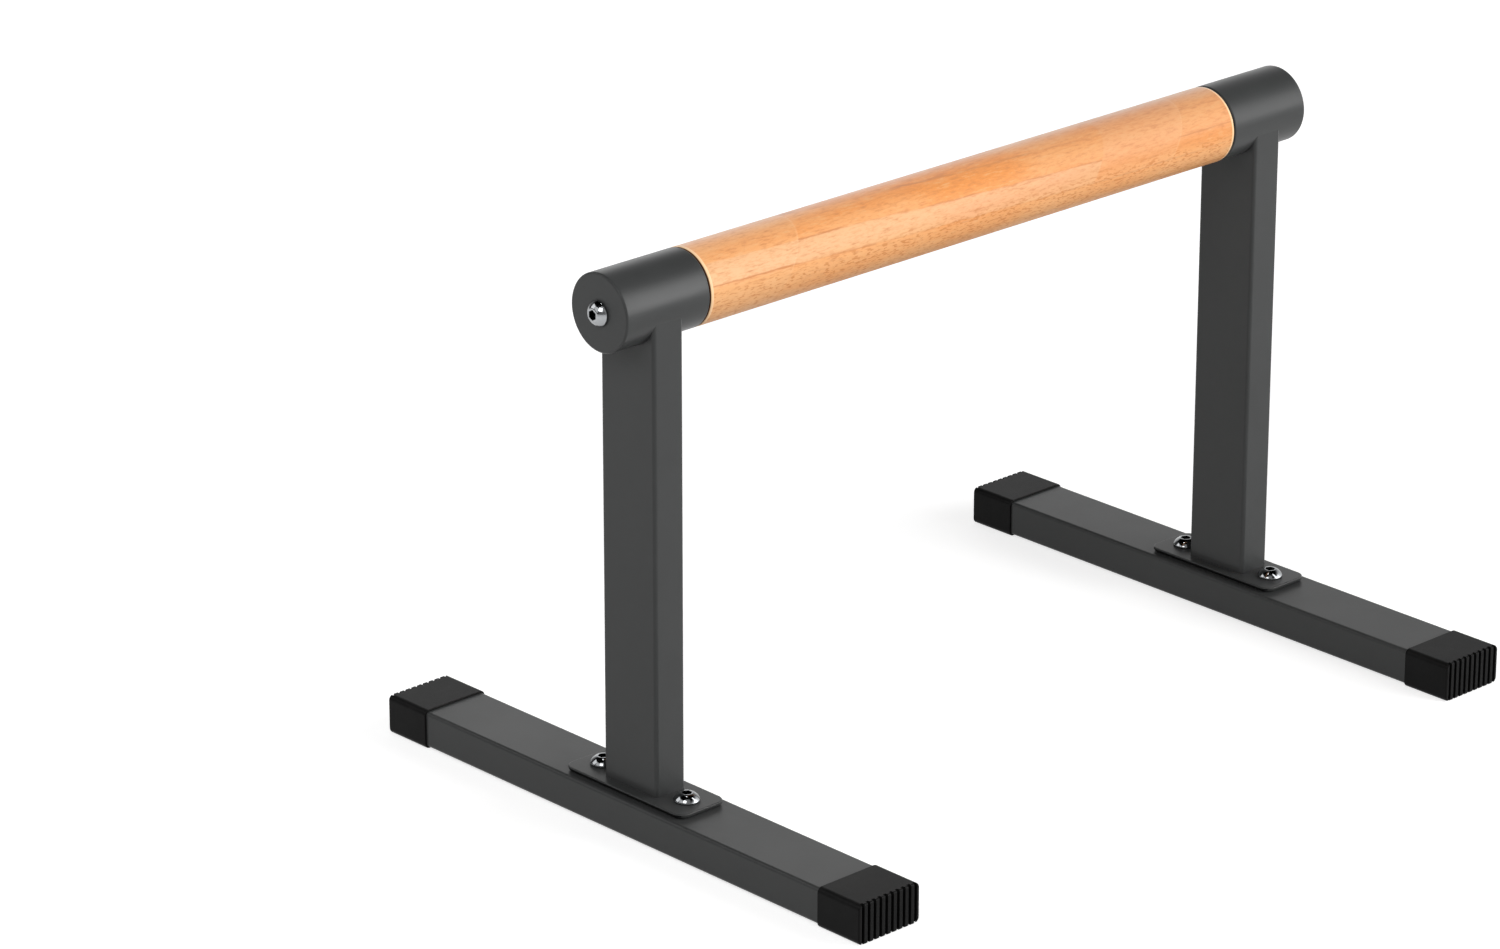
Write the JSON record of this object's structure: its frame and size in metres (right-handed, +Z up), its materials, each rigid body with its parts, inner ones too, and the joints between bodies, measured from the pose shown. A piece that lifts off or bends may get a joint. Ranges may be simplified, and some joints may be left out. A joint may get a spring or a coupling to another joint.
{
  "type": "parallette bar",
  "caption": "Low training bar: a round wooden grip held in steel cups on upright posts, bolted to long flat feet with ribbed rubber end caps.",
  "frame": {"origin": "on the floor under the middle of the grip, at the centre of the bottom of the bounding box", "axes": "+X along the grip from the left post to the right post, +Y along the feet from front to rear, +Z up"},
  "size_m": [0.5078, 0.36, 0.308],
  "materials": {
    "powder_coat": "satin charcoal powder coat",
    "varnished_beech": "clear satin varnish, grain along the grip",
    "cap_rubber": "matte black",
    "screw_plate": "bright plated",
    "plain_steel": "bare"
  },
  "bodies": {
    "root": {"grip": "varnished_beech", "left_insert": "plain_steel", "right_insert": "plain_steel", "left_cup": "powder_coat", "right_cup": "powder_coat", "left_cup_disc": "powder_coat", "right_cup_disc": "powder_coat", "left_post": "powder_coat", "right_post": "powder_coat", "left_flange": "powder_coat", "right_flange": "powder_coat", "left_foot": "powder_coat", "right_foot": "powder_coat", "left_front_cap": "cap_rubber", "left_rear_cap": "cap_rubber", "right_front_cap": "cap_rubber", "right_rear_cap": "cap_rubber", "left_front_bolt": "screw_plate", "left_rear_bolt": "screw_plate", "right_front_bolt": "screw_plate", "right_rear_bolt": "screw_plate", "left_front_nut": "plain_steel", "left_rear_nut": "plain_steel", "right_front_nut": "plain_steel", "right_rear_nut": "plain_steel", "left_grip_bolt": "screw_plate", "right_grip_bolt": "screw_plate"}
  },
  "joints": []
}
